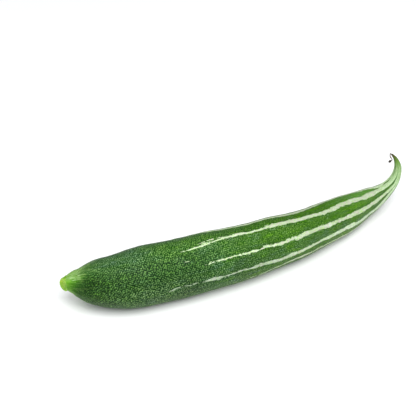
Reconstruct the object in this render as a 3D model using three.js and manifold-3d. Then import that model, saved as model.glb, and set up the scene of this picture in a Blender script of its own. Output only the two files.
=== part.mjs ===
// Snake gourd (Trichosanthes cucumerina), short striped kind, picked and lying on its side.
// Units are millimetres, +Z is up, the surface it rests on is z = 0.
// The stem end points to -X and the hooked flower end to +X.
//
// Three pieces:
//   gourd_fruit   the whole fruit, one solid grown in one piece, from its neck to its pointed tip
//   stem_stub     the short length of cut stem left on the neck
//   dried_flower  the withered flower, a thread ending in a small knob, hanging from the tip

import * as THREE from 'three';
import { mergeVertices } from 'three/addons/utils/BufferGeometryUtils.js';
import Module from 'manifold-3d';

// ---------------------------------------------------------------- driving dimensions (mm)

const FLAT_DEPTH = 0.35;        // how far the underside is pressed flat where it rests
const FRUIT_START = 3.0;        // distance along the axis where the fruit ends and the stem begins
const JOINT_GAP = 0.3;          // clearance between neighbouring pieces
const FRUIT_STATIONS = 84;      // cross-sections along the fruit
const FRUIT_SIDES = 32;         // sides of each cross-section

const STEM_SIDES = 24;
const STEM_RADII = [             // [distance from the fruit, radius]
  [0.0, 6.22], [1.4, 5.86], [2.8, 5.48], [4.2, 5.03], [5.6, 4.46], [7.2, 3.7], [8.8, 2.85],
];
const STEM_DROOP = [-0.020, -0.119, -0.200];       // sideways shift of the stem for each mm along it
const STEM_CUT_POINT = [-160.235, 24.67, 20.512];       // middle of the slanting cut face
const STEM_CUT_NORMAL = [-0.9947, -0.102, 0.0147];

const THREAD_RADIUS = 0.42;     // withered thread
const THREAD_SIDES = 8;
const THREAD_PATH = [           // from the tip of the fruit down to the knob
  [150.35, 24.70, 49.35], [150.38, 24.78, 48.3], [150.46, 24.82, 47.0], [150.75, 24.62, 45.7],
  [151.45, 24.25, 44.4], [152.15, 23.9, 43.3], [152.2, 23.85, 42.5], [151.5, 24.2, 41.75],
];
const KNOB_CENTRE = [150.75, 24.65, 41.2];
const KNOB_PROFILE = [          // [radius, height] of the withered knob, turned about its own axis
  [0.0, -1.45], [0.7, -1.3], [1.15, -0.8], [1.3, -0.1], [1.1, 0.6], [0.65, 1.15], [0.0, 1.4],
];

// Stations along the fruit's axis: distance from the stem end, plan position of the axis, height of
// the underside above the table, and radius. It lies on the table between 52 and 262.
const STATIONS = [
  // s,      x,       y,     lift,  radius
  [0.0, -158.62, 24.31, 16.79, 5.09],
  [4.0, -155.28, 22.40, 15.09, 7.27],
  [8.0, -151.96, 20.49, 13.21, 9.42],
  [12.0, -148.66, 18.57, 10.79, 11.67],
  [17.0, -144.54, 16.16, 7.82, 14.55],
  [23.0, -139.59, 13.30, 5.45, 17.01],
  [30.0, -133.73, 10.15, 3.87, 18.92],
  [40.0, -125.05, 6.27, 2.05, 20.77],
  [52.0, -114.08, 2.73, 0.50, 22.70],
  [66.0, -100.61, -0.01, 0.0, 23.80],
  [82.0, -84.73, -2.34, 0.0, 23.65],
  [100.0, -66.66, -4.46, 0.0, 23.40],
  [120.0, -46.56, -6.17, 0.0, 23.30],
  [140.0, -26.53, -7.29, 0.0, 22.50],
  [160.0, -6.58, -7.55, 0.0, 21.60],
  [180.0, 13.32, -6.48, 0.0, 21.05],
  [200.0, 33.09, -4.83, 0.0, 19.65],
  [218.0, 50.80, -2.40, 0.0, 18.35],
  [236.0, 68.63, 1.27, 0.0, 17.45],
  [252.0, 84.81, 5.05, 0.05, 16.50],
  [266.0, 99.25, 8.46, 0.99, 14.81],
  [279.0, 112.66, 11.65, 2.94, 12.58],
  [291.0, 124.77, 14.33, 5.17, 10.63],
  [302.0, 135.29, 16.34, 8.46, 8.29],
  [312.0, 143.95, 17.95, 12.19, 6.49],
  [321.0, 150.56, 19.32, 16.44, 5.29],
  [329.0, 155.03, 20.50, 21.46, 4.35],
  [336.5, 157.55, 21.56, 27.43, 3.60],
  [343.5, 157.94, 22.41, 33.85, 2.85],
  [350.5, 155.63, 23.28, 41.64, 1.76],
  [354.0, 153.17, 23.89, 45.78, 1.10],
  [356.0, 151.37, 24.31, 48.27, 0.62],
];

// ---------------------------------------------------------------- solids: join, cut, check

const wasm = await Module();
wasm.setup();

function weld(geometry) {
  const g = geometry.clone();
  for (const name of Object.keys(g.attributes)) if (name !== 'position') g.deleteAttribute(name);
  return mergeVertices(g, 1e-3);
}

// A closed three.js geometry as a solid. Triangles that close up to nothing at a pole are dropped,
// and the winding is turned round if the faces point inwards.
function solid(geometry) {
  const g = weld(geometry);
  const position = g.getAttribute('position');
  const index = g.index ? Array.from(g.index.array) : [...Array(position.count).keys()];
  const tris = [];
  for (let i = 0; i < index.length; i += 3) {
    const [a, b, c] = [index[i], index[i + 1], index[i + 2]];
    if (a !== b && b !== c && c !== a) tris.push(a, b, c);
  }
  let volume = 0;
  const p = (k) => new THREE.Vector3().fromBufferAttribute(position, k);
  for (let i = 0; i < tris.length; i += 3) {
    volume += p(tris[i]).dot(p(tris[i + 1]).cross(p(tris[i + 2])));
  }
  if (volume < 0) for (let i = 0; i < tris.length; i += 3) [tris[i + 1], tris[i + 2]] = [tris[i + 2], tris[i + 1]];
  return new wasm.Manifold(new wasm.Mesh({
    numProp: 3,
    vertProperties: new Float32Array(position.array),
    triVerts: new Uint32Array(tris),
  }));
}

function geometryOf(manifold) {
  const mesh = manifold.getMesh();
  const g = new THREE.BufferGeometry();
  g.setAttribute('position', new THREE.BufferAttribute(new Float32Array(mesh.vertProperties), 3));
  g.setIndex(new THREE.BufferAttribute(new Uint32Array(mesh.triVerts), 1));
  g.computeVertexNormals();
  return g;
}

// Everything on the far side of a plane, as a big box, for trimming.
function halfSpace(point, normal, size = 500) {
  const box = new THREE.BoxGeometry(size, size, size);
  box.translate(0, 0, size / 2);
  box.applyQuaternion(new THREE.Quaternion().setFromUnitVectors(
    new THREE.Vector3(0, 0, 1), new THREE.Vector3(...normal).normalize()));
  box.translate(...point);
  return solid(box);
}

// ---------------------------------------------------------------- the fruit's axis and radius

// Smooth curve through a column of the station table.
function column(k, s) {
  let i = 0;
  while (i < STATIONS.length - 2 && s > STATIONS[i + 1][0]) i++;
  const at = (j) => STATIONS[Math.min(Math.max(j, 0), STATIONS.length - 1)];
  const slope = (j) => {
    const [a, b] = [at(j - 1), at(j + 1)];
    return (b[k] - a[k]) / (b[0] - a[0]);
  };
  const [a, b] = [at(i), at(i + 1)];
  const h = b[0] - a[0];
  const t = (s - a[0]) / h;
  const [t2, t3] = [t * t, t * t * t];
  return (2 * t3 - 3 * t2 + 1) * a[k] + (t3 - 2 * t2 + t) * h * slope(i)
    + (-2 * t3 + 3 * t2) * b[k] + (t3 - t2) * h * slope(i + 1);
}

const LENGTH = STATIONS[STATIONS.length - 1][0];
const radiusAt = (s) => column(4, s);

class FruitAxis extends THREE.Curve {
  getPoint(t, target = new THREE.Vector3()) {
    const s = t * LENGTH;
    return target.set(column(1, s), column(2, s), column(3, s) + radiusAt(s) - FLAT_DEPTH);
  }
}
const axis = new FruitAxis();
const pointAt = (s) => axis.getPoint(s / LENGTH);
const tangentAt = (s) => {
  const d = 0.05;
  const [a, b] = [Math.max(0, s - d), Math.min(LENGTH, s + d)];
  return pointAt(b).sub(pointAt(a)).normalize();
};

// Frames that don't twist, carried along the axis from one that starts upright.
function frames(stations) {
  const list = [];
  for (const s of stations) {
    const point = pointAt(s);
    const tangent = tangentAt(s);
    let normal;
    if (list.length === 0) {
      normal = new THREE.Vector3(0, 0, 1);
    } else {
      const last = list[list.length - 1];
      normal = last.normal.clone().applyQuaternion(
        new THREE.Quaternion().setFromUnitVectors(last.tangent, tangent));
    }
    normal.addScaledVector(tangent, -normal.dot(tangent)).normalize();
    list.push({ s, point, tangent, normal, binormal: tangent.clone().cross(normal) });
  }
  return list;
}

// ---------------------------------------------------------------- gourd_fruit

function fruitStations() {
  // closer together where the shoulder and the tip turn fastest
  const list = [];
  for (let i = 0; i < FRUIT_STATIONS; i++) {
    const u = i / (FRUIT_STATIONS - 1);
    const eased = u + 0.085 * Math.sin(2 * Math.PI * (u - 0.5)) * -1;
    list.push(FRUIT_START + (LENGTH - FRUIT_START) * Math.min(Math.max(eased, 0), 1));
  }
  return list;
}

function buildFruit() {
  const stations = fruitStations();
  const frame = frames(stations);
  // turned profile: flat neck face, the skin, then the point of the tip
  const profile = [new THREE.Vector2(0, 0)];
  stations.forEach((s, i) => profile.push(new THREE.Vector2(radiusAt(s), i)));
  profile.push(new THREE.Vector2(0, stations.length));
  const g = new THREE.LatheGeometry(profile, FRUIT_SIDES);
  // then laid along the axis: the height on the lathe says which cross-section a point is on
  const position = g.getAttribute('position');
  const v = new THREE.Vector3();
  for (let i = 0; i < position.count; i++) {
    v.fromBufferAttribute(position, i);
    const row = Math.round(v.y);
    const f = frame[Math.min(row, frame.length - 1)];
    const along = row >= frame.length ? 0.5 : 0;
    const out = f.point.clone()
      .addScaledVector(f.tangent, along)
      .addScaledVector(f.normal, v.z)
      .addScaledVector(f.binormal, v.x);
    position.setXYZ(i, out.x, out.y, out.z);
  }
  // pressed flat where it lies on the table
  return geometryOf(solid(g).subtract(halfSpace([0, 0, 0], [0, 0, -1])));
}

// ---------------------------------------------------------------- stem_stub

function buildStem() {
  const f = frames([FRUIT_START])[0];
  const profile = [new THREE.Vector2(0, 0)];
  for (const [d, r] of STEM_RADII) profile.push(new THREE.Vector2(r, d));
  profile.push(new THREE.Vector2(0, STEM_RADII[STEM_RADII.length - 1][0]));
  const g = new THREE.LatheGeometry(profile, STEM_SIDES);
  const back = f.tangent.clone().negate();
  const turn = new THREE.Quaternion().setFromUnitVectors(new THREE.Vector3(0, 1, 0), back);
  const start = f.point.clone().addScaledVector(back, JOINT_GAP);
  const droop = new THREE.Vector3(...STEM_DROOP);
  const position = g.getAttribute('position');
  const v = new THREE.Vector3();
  for (let i = 0; i < position.count; i++) {
    v.fromBufferAttribute(position, i);
    const along = v.y;
    v.applyQuaternion(turn).add(start).addScaledVector(droop, along);
    position.setXYZ(i, v.x, v.y, v.z);
  }
  return geometryOf(solid(g).subtract(halfSpace(STEM_CUT_POINT, STEM_CUT_NORMAL)));
}

// ---------------------------------------------------------------- dried_flower

function buildFlower() {
  const path = new THREE.CatmullRomCurve3(THREAD_PATH.map((p) => new THREE.Vector3(...p)));
  const section = new THREE.Shape();
  for (let i = 0; i < THREAD_SIDES; i++) {
    const a = (2 * Math.PI * i) / THREAD_SIDES;
    const [x, y] = [THREAD_RADIUS * Math.cos(a), THREAD_RADIUS * Math.sin(a)];
    if (i === 0) section.moveTo(x, y); else section.lineTo(x, y);
  }
  section.closePath();
  const thread = new THREE.ExtrudeGeometry(section, { steps: 18, bevelEnabled: false, extrudePath: path });
  const knob = new THREE.LatheGeometry(KNOB_PROFILE.map(([r, y]) => new THREE.Vector2(r, y)), 12);
  knob.rotateZ(0.7);
  knob.translate(...KNOB_CENTRE);
  return geometryOf(solid(thread).add(solid(knob)));
}

// ---------------------------------------------------------------- the gourd

function piece(name, geometry, color, roughness) {
  const mesh = new THREE.Mesh(geometry, new THREE.MeshStandardMaterial({ color, roughness, metalness: 0 }));
  mesh.name = name;
  return mesh;
}

const gourd = new THREE.Group();
gourd.name = 'snake_gourd';
gourd.add(
  piece('gourd_fruit', buildFruit(), 0x4a7a34, 0.42),
  piece('stem_stub', buildStem(), 0xa4c440, 0.6),
  piece('dried_flower', buildFlower(), 0x4a3020, 0.85),
);

// The origin is under the middle of the gourd, on the table.
const box = new THREE.Box3().setFromObject(gourd);
gourd.position.set(-(box.min.x + box.max.x) / 2, -(box.min.y + box.max.y) / 2, -box.min.z);
gourd.updateMatrixWorld(true);

export default gourd;
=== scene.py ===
"""Looks of one snake gourd lying on a pale studio floor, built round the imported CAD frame. Metres, +Z up."""
import math

import bpy
import numpy as np
from mathutils import Matrix, Vector


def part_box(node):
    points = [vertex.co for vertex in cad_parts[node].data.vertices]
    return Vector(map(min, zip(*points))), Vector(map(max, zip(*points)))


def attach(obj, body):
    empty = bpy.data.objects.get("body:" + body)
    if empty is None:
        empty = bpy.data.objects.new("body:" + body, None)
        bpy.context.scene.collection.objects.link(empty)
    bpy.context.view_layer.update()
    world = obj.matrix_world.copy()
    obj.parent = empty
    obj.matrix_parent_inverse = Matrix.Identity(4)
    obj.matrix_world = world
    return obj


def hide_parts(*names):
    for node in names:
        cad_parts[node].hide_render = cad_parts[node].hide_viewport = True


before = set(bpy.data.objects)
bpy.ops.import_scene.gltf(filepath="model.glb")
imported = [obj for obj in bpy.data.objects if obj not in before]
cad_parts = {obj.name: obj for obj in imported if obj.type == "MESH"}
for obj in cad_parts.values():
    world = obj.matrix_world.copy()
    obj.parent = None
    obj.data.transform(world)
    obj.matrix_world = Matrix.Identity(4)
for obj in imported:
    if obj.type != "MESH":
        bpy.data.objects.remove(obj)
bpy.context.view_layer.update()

scene = bpy.context.scene
MM = 0.001
rng = np.random.default_rng(7)

# ------------------------------------------------------------------ the fruit's axis and radius (millimetres)
# distance along the axis, plan position, height of the underside above the table, radius
STATIONS = np.array([
    (0.0, -158.62, 24.31, 16.79, 5.09), (4.0, -155.28, 22.40, 15.09, 7.27), (8.0, -151.96, 20.49, 13.21, 9.42),
    (12.0, -148.66, 18.57, 10.79, 11.67), (17.0, -144.54, 16.16, 7.82, 14.55), (23.0, -139.59, 13.30, 5.45, 17.01),
    (30.0, -133.73, 10.15, 3.87, 18.92), (40.0, -125.05, 6.27, 2.05, 20.77), (52.0, -114.08, 2.73, 0.50, 22.70),
    (66.0, -100.61, -0.01, 0.0, 23.80), (82.0, -84.73, -2.34, 0.0, 23.65), (100.0, -66.66, -4.46, 0.0, 23.40),
    (120.0, -46.56, -6.17, 0.0, 23.30), (140.0, -26.53, -7.29, 0.0, 22.50), (160.0, -6.58, -7.55, 0.0, 21.60),
    (180.0, 13.32, -6.48, 0.0, 21.05), (200.0, 33.09, -4.83, 0.0, 19.65), (218.0, 50.80, -2.40, 0.0, 18.35),
    (236.0, 68.63, 1.27, 0.0, 17.45), (252.0, 84.81, 5.05, 0.05, 16.50), (266.0, 99.25, 8.46, 0.99, 14.81),
    (279.0, 112.66, 11.65, 2.94, 12.58), (291.0, 124.77, 14.33, 5.17, 10.63), (302.0, 135.29, 16.34, 8.46, 8.29),
    (312.0, 143.95, 17.95, 12.19, 6.49), (321.0, 150.56, 19.32, 16.44, 5.29), (329.0, 155.03, 20.50, 21.46, 4.35),
    (336.5, 157.55, 21.56, 27.43, 3.60), (343.5, 157.94, 22.41, 33.85, 2.85), (350.5, 155.63, 23.28, 41.64, 1.76),
    (354.0, 153.17, 23.89, 45.78, 1.10), (356.0, 151.37, 24.31, 48.27, 0.62)])
FLAT = 0.35
LENGTH = float(STATIONS[-1, 0])


def hermite(xs, ys, x):
    """Smooth curve through (xs, ys), the same rule as the CAD's."""
    xs, ys, x = np.asarray(xs, float), np.asarray(ys, float), np.asarray(x, float)
    lo, hi = np.r_[0, np.arange(len(xs) - 1)], np.r_[np.arange(1, len(xs)), len(xs) - 1]
    m = (ys[hi] - ys[lo]) / (xs[hi] - xs[lo])
    i = np.clip(np.searchsorted(xs, x, side="right") - 1, 0, len(xs) - 2)
    h = xs[i + 1] - xs[i]
    t = (x - xs[i]) / h
    t2, t3 = t * t, t * t * t
    return (2 * t3 - 3 * t2 + 1) * ys[i] + (t3 - 2 * t2 + t) * h * m[i] + (-2 * t3 + 3 * t2) * ys[i + 1] + (t3 - t2) * h * m[i + 1]


def radius_at(s):
    return hermite(STATIONS[:, 0], STATIONS[:, 4], s)


def axis_at(s):
    s = np.atleast_1d(np.asarray(s, float))
    x, y, lift = (hermite(STATIONS[:, 0], STATIONS[:, k], s) for k in (1, 2, 3))
    return np.stack([x, y, lift + radius_at(s) - FLAT], -1)


def unit(v):
    return v / np.linalg.norm(v, axis=-1, keepdims=True)


def carry(c, T, start):
    """Frames that don't twist: the normal is carried from one point to the next."""
    N = np.zeros_like(c)
    n = start - T[0] * (start @ T[0])
    N[0] = n / np.linalg.norm(n)
    for i in range(len(c) - 1):
        v1 = c[i + 1] - c[i]
        c1 = v1 @ v1
        rl = N[i] - (2 / c1) * (v1 @ N[i]) * v1
        tl = T[i] - (2 / c1) * (v1 @ T[i]) * v1
        v2 = T[i + 1] - tl
        c2 = v2 @ v2
        n = rl - (2 / c2) * (v2 @ rl) * v2 if c2 > 1e-14 else rl
        n = n - T[i + 1] * (T[i + 1] @ n)
        N[i + 1] = n / np.linalg.norm(n)
    return N, np.cross(T, N)


GRID = np.linspace(0.0, LENGTH, 1425)
AXIS = axis_at(GRID)
TAN = unit(np.gradient(AXIS, GRID, axis=0))
NOR, BIN = carry(AXIS, TAN, np.array([0.0, 0.0, 1.0]))


def on_grid(table, s):
    return np.stack([np.interp(s, GRID, table[:, k]) for k in range(3)], -1)


def frame_at(s):
    T, N = unit(on_grid(TAN, s)), on_grid(NOR, s)
    N = unit(N - T * np.sum(T * N, -1, keepdims=True))
    return axis_at(s), T, N, np.cross(T, N)


# where the CAD's fruit lies, so that this one lies there too
_p = np.linspace(0, 2 * np.pi, 96, endpoint=False)
_ring = np.cos(_p)[None, :, None] * NOR[:, None] + np.sin(_p)[None, :, None] * BIN[:, None]
_skin = (AXIS[:, None] + radius_at(GRID)[:, None, None] * _ring)[GRID > 3.0].reshape(-1, 3)
_lo, _hi = (np.array(c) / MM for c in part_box("gourd_fruit"))
SHIFT = (_lo + _hi) / 2 - (_skin.min(0) + _skin.max(0)) / 2
SHIFT[2] = 0.0

# ------------------------------------------------------------------ camera
CAM = Vector((-0.41145, -0.65639, 0.55674)) + Vector(SHIFT * MM)
TARGET = Vector((0.00671, 0.09263, -0.00035)) + Vector(SHIFT * MM)
cam_data = bpy.data.cameras.new("camera")
cam_data.lens, cam_data.sensor_width, cam_data.sensor_fit = 100.0, 36.0, "HORIZONTAL"
cam_data.clip_start, cam_data.clip_end = 0.05, 20.0
cam = bpy.data.objects.new("camera", cam_data)
scene.collection.objects.link(cam)
cam.location = CAM
cam.rotation_mode = "QUATERNION"
cam.rotation_quaternion = (TARGET - CAM).to_track_quat("-Z", "Y")
scene.camera = cam

# ------------------------------------------------------------------ stripes
# Ten pale stripes run from the middle of the fruit to its tip. Each is a list of (distance, angle) for its
# centre line and (distance, half width); the angle is round the axis, 0 up and 90 towards the outside of the bend.
STRIPES = [
    dict(line=[(0, -34), (105, -29), (119, -24), (133, -20), (151, -18.5), (172, -21), (187, -15.5), (199, -14), (212, -16.5), (223, -20), (235, -23.5), (250, -24.5), (262, -23.5), (277, -21), (289, -18), (298, -14), (305, -15), (313, -29), (319, -36), (326, -42), (334, -46), (356, -46)],
         width=[(96, -0.5), (103, 0.45), (112, 0.85), (118, 0.75), (124, 1.25), (134, 1.45), (142, 1.1), (155, 1.55), (168, 1.65), (180, 1.4), (190, 1.8), (205, 2.0), (215, 1.6), (228, 1.75), (245, 2.0), (262, 1.9), (280, 1.9), (289, 1.8), (296, 2.4), (302, 2.9), (308, 2.1), (314, 1.7), (319, 2.0), (323, 2.1), (328, 2.1), (334, 1.9), (340, 1.4), (346, 0.9)]),
    dict(line=[(0, 24), (94, 23), (98, 22), (104, 20.7), (110, 19.8), (116, 18.6), (122, 15.8), (128, 13.8), (134, 13.6), (140, 12.6), (146, 12.5), (152, 13.7), (160, 12.8), (170, 12.7), (176, 13.2), (182, 15), (190, 14.7), (200, 16), (212, 16.6), (224, 19), (236, 20.3), (245, 19.2), (257, 20.6), (266, 22), (275, 25.4), (281, 25.2), (290, 23), (299, 21.5), (305, 18), (311, 15.5), (318, 14), (322, 12), (327, 12), (332, 15), (345, 20), (356, 20)],
         width=[(90, -0.5), (94, 0.4), (98, 0.65), (110, 0.7), (118, 0.85), (125, 0.75), (129, 1.15), (138, 1.3), (142, 1.65), (147, 1.15), (151, 0.85), (163, 0.95), (169, 1.35), (174, 2.1), (179, 2.05), (185, 1.55), (190, 1.85), (195, 1.95), (200, 1.7), (222, 1.7), (232, 1.9), (245, 1.95), (262, 2.05), (270, 1.9), (277, 2.3), (286, 2.45), (291, 2.1), (298, 1.8), (305, 2.0), (312, 2.05), (318, 2.0), (322, 2.15), (328, 2.1), (333, 1.8), (338, 1.4), (345, 0.9)]),
    dict(line=[(0, 58), (109, 58.3), (114, 57), (126, 56.8), (135, 56.1), (141, 56.7), (153, 56), (160, 55), (168, 57), (174, 58.2), (183, 56.2), (192, 57.3), (198, 54.6), (204, 54.7), (213, 53.5), (219, 55.5), (228, 56.8), (237, 58.6), (255, 60), (261, 61.3), (270, 63), (282, 63.5), (291, 61.7), (300, 59.7), (309, 59.8), (318, 61.5), (326, 64), (335, 63), (356, 60)],
         width=[(106, -0.4), (109.5, 0.4), (115, 0.6), (127, 0.5), (136, 0.55), (142, 0.85), (149, 0.95), (154, 0.55), (160, 0.6), (164, 1.05), (176, 1.1), (189, 1.35), (193, 1.75), (198, 1.9), (202, 1.75), (206, 1.35), (213, 1.75), (227, 1.65), (235, 1.45), (245, 1.6), (251, 1.85), (262, 2.05), (268, 1.9), (273, 1.5), (282, 1.7), (292, 1.5), (298, 1.15), (312, 1.15), (320, 1.0), (326, 1.2), (334, 1.3), (340, 1.0), (346, 0.8)]),
    dict(line=[(0, 97), (77, 94.8), (81, 93), (86.4, 91), (99, 91), (111, 90.9), (117, 91.8), (126, 91.7), (135, 90.1), (147, 91), (159, 90.3), (165, 92.3), (171, 94.6), (183, 93.7), (195, 92.8), (201, 90.7), (210, 87.8), (216, 87.3), (225, 88.6), (234, 90.2), (243, 90.2), (252, 92), (261, 95.3), (270, 95.3), (279, 96.8), (285, 99.5), (300, 97), (310, 91), (320, 92), (335, 96), (356, 96)],
         width=[(74, -0.4), (77.5, 0.35), (81, 0.6), (85, 0.4), (87, 0.1), (91, 0.35), (97, 0.5), (100.5, -0.2), (102.5, -0.2), (104.5, 0.5), (108, 0.85), (111, 1.3), (117, 1.35), (120, 0.7), (126, 0.7), (130, 0.9), (136, 0.8), (144, 0.8), (148, 1.25), (156, 1.3), (161, 1.75), (167, 1.65), (175, 1.5), (180, 1.8), (195, 1.65), (202, 1.35), (209, 1.05), (214, 1.3), (221, 1.4), (228, 1.8), (237, 1.9), (245, 1.8), (250, 2.2), (256, 1.75), (270, 1.75), (280, 1.6), (286, 1.9), (294, 2.2), (302, 2.35), (312, 2.2), (320, 1.7), (328, 1.6), (334, 1.4), (340, 0.9), (346, 0.6)]),
    dict(line=[(0, 128), (150, 122), (160, 123), (168, 118.5), (177, 117.6), (186, 113.6), (195, 112.4), (207, 112.4), (219, 113.4), (228, 116.8), (240, 120), (260, 124), (290, 130), (320, 134), (356, 134)],
         width=[(138, -0.4), (144, 0.3), (150, 0.4), (153, -0.1), (157, 0.7), (164, 0.9), (178, 0.8), (186, 1.2), (196, 1.3), (207, 0.85), (216, 0.9), (226, 1.3), (245, 1.55), (270, 1.75), (290, 1.7), (302, 1.3), (315, 1.3), (322, 1.4), (330, 1.35), (338, 1.0), (346, 0.6)]),
    dict(line=[(0, 163), (110, 160), (150, 158), (180, 160), (220, 156), (260, 160), (300, 163), (356, 165)],
         width=[(96, -0.5), (104, 0.35), (118, 0.8), (126, 0.55), (140, 1.0), (158, 0.8), (172, 1.4), (190, 1.2), (208, 1.7), (224, 1.45), (245, 1.9), (265, 1.8), (285, 1.9), (300, 1.35), (315, 1.3), (322, 1.4), (330, 1.35), (338, 1.0), (346, 0.6)]),
    dict(line=[(0, 198), (95, 196), (130, 193), (170, 196), (210, 198), (250, 195), (300, 198), (356, 200)],
         width=[(84, -0.45), (90, 0.35), (97, 0.5), (102, -0.15), (107, 0.55), (120, 1.15), (132, 0.75), (150, 1.25), (165, 0.95), (182, 1.7), (200, 1.5), (215, 1.9), (235, 1.65), (255, 2.05), (275, 1.8), (288, 2.0), (300, 1.4), (315, 1.3), (322, 1.4), (330, 1.35), (338, 1.0), (346, 0.6)]),
    dict(line=[(0, 233), (110, 231), (150, 234), (190, 231), (230, 229), (270, 232), (300, 233), (356, 236)],
         width=[(106, -0.5), (113, 0.35), (128, 0.6), (140, 0.9), (152, 0.65), (170, 1.25), (182, 1.0), (196, 1.5), (214, 1.35), (230, 1.8), (250, 1.6), (270, 1.9), (288, 1.75), (300, 1.3), (315, 1.3), (322, 1.4), (330, 1.35), (338, 1.0), (346, 0.6)]),
    dict(line=[(0, 267), (100, 266), (140, 269), (180, 266), (220, 268), (260, 265), (300, 268), (356, 270)],
         width=[(80, -0.4), (85, 0.35), (94, 0.45), (97, -0.1), (102, 0.5), (114, 1.0), (124, 0.65), (140, 1.2), (156, 0.9), (170, 1.6), (188, 1.3), (204, 1.8), (222, 1.55), (244, 2.0), (264, 1.75), (285, 2.0), (300, 1.35), (315, 1.3), (322, 1.4), (330, 1.35), (338, 1.0), (346, 0.6)]),
    dict(line=[(0, 300), (120, 300), (160, 303), (200, 300), (240, 302), (280, 305), (300, 306), (356, 306)],
         width=[(116, -0.5), (123, 0.35), (136, 0.7), (148, 0.5), (160, 1.0), (176, 0.85), (190, 1.35), (208, 1.15), (226, 1.7), (246, 1.5), (266, 1.85), (286, 1.75), (300, 1.3), (315, 1.3), (322, 1.4), (330, 1.35), (338, 1.0), (346, 0.6)]),
]

# Loose strands and dashes beside the stripes: (start, end, angle at the start, angle at the end, half width).
STRANDS = [
    (107.0, 113.5, 14.6, 12.4, 0.42), (114.5, 121.0, 11.6, 10.6, 0.50), (122.0, 128.5, 10.2, 10.6, 0.40), (109.5, 117.0, 16.2, 15.0, 0.30),
    (157.0, 163.0, 52.0, 52.4, 0.55), (112.0, 119.0, 95.8, 95.4, 0.40), (120.5, 126.0, 94.4, 94.6, 0.28), (254.0, 267.0, 14.4, 14.8, 0.45),
    (93.0, 96.5, 44.0, 44.6, 0.16), (128.0, 132.0, 56.0, 55.0, 0.30), (166.5, 171.0, 7.6, 7.0, 0.45), (186.0, 191.0, 61.6, 61.8, 0.40),
    (8.2, 15.4, 9.0, -5.0, 0.50), (11.0, 14.2, 27.0, 24.0, 0.55), (7.6, 10.6, 45.0, 43.0, 0.34), (5.4, 8.0, 21.0, 17.0, 0.40), (6.0, 9.4, 33.0, 31.0, 0.32),
    (280.0, 288.0, 12.6, 13.4, 0.40), (204.0, 209.0, 11.4, 11.6, 0.35), (151.0, 156.0, 86.0, 86.4, 0.35), (234.0, 240.0, 53.2, 53.6, 0.40),
]


def more_strands():
    """The same kind of loose strands on the sides that the list above leaves bare."""
    r = np.random.default_rng(21)
    out = []
    for k in (0, 4, 5, 6, 7, 8, 9):
        begin = STRIPES[k]["width"][0][0] + 14
        s_ = begin + r.uniform(0, 10)
        while s_ < 285:
            run = r.uniform(4, 11)
            mid = s_ + run / 2
            R_ = float(radius_at(mid))
            w_ = float(np.interp(mid, *zip(*STRIPES[k]["width"])))
            side = 1 if r.random() < 0.5 else -1
            off = side * math.degrees((max(w_, 0.2) + r.uniform(0.25, 0.75)) / R_)
            c_ = float(hermite(*zip(*STRIPES[k]["line"]), mid))
            out.append((s_, s_ + run, c_ + off, c_ + off * r.uniform(0.8, 1.1), r.uniform(0.25, 0.5)))
            s_ += run + r.uniform(12, 34)
        for gap_ in (4, 10):
            s_ = STRIPES[k]["width"][0][0] - gap_ + r.uniform(-1.5, 1.5)
            c_ = float(hermite(*zip(*STRIPES[k]["line"]), s_))
            out.append((s_ - r.uniform(2, 4), s_, c_ + r.uniform(-1, 1), c_, 0.22))
    return out


def stripe_tables(s):
    """Centre angles (radians) and half widths (mm) of the stripes at distances s: two arrays, stripe by distance."""
    centre = np.array([np.radians(hermite(*zip(*d["line"]), s)) for d in STRIPES])
    width = np.array([np.interp(s, *zip(*d["width"]), left=-1.2) for d in STRIPES])
    return centre, width


# ------------------------------------------------------------------ small helpers
def smooth(a, b, x):
    t = np.clip((x - a) / (b - a), 0, 1)
    return t * t * (3 - 2 * t)


def add_mesh(name, verts, faces):
    me = bpy.data.meshes.new(name)
    me.from_pydata([tuple(v) for v in verts], [], [tuple(int(i) for i in f) for f in faces])
    me.validate()
    me.polygons.foreach_set("use_smooth", [True] * len(me.polygons))
    ob = bpy.data.objects.new(name, me)
    scene.collection.objects.link(ob)
    return ob


def waves(count, seed, wn_s, wn_a, amp):
    """A smooth random relief on the skin: a sum of waves, (distance, angle) -> mm. Whole numbers of waves fit round it."""
    r = np.random.default_rng(seed)
    terms = [(r.uniform(*wn_s), int(r.integers(wn_a[0], wn_a[1] + 1)) * (1 if r.random() < 0.5 else -1), r.uniform(0, 6.283), r.normal()) for _ in range(count)]
    norm = amp / math.sqrt(sum(t[3] ** 2 for t in terms) / 2)

    def f(s, a):
        return norm * sum(w * np.cos(2 * np.pi * ks * s + ka * a + ph) for ks, ka, ph, w in terms)
    return f


# ------------------------------------------------------------------ the fruit's fine mesh
NV = 200
START = 2.5
pace = hermite([0, 12, 40, 80, 280, 310, 335, 350, 356], [0.42, 0.5, 0.72, 0.92, 0.92, 0.66, 0.5, 0.34, 0.24], GRID)
count = np.concatenate([[0], np.cumsum(np.diff(GRID) / (0.5 * (pace[1:] + pace[:-1])))])
NU = 448
rows = np.interp(np.linspace(np.interp(START, GRID, count), count[-1], NU), count, GRID)
ang = np.linspace(0, 2 * np.pi, NV, endpoint=False)
S, A = np.meshgrid(rows, ang, indexing="ij")
centre, halfw = stripe_tables(rows)

lump = waves(14, 11, (0.004, 0.022), (1, 3), 0.13)
ripple = waves(26, 12, (0.02, 0.09), (2, 9), 0.05)
fine = waves(60, 13, (0.05, 0.22), (6, 38), 0.022)
relief = lump(S, A) * smooth(20, 60, S) * (1 - 0.8 * smooth(270, 330, S))
relief += ripple(S, A) * (1 - 0.6 * smooth(290, 340, S)) + fine(S, A) * (1 - 0.5 * smooth(300, 345, S))
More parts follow.
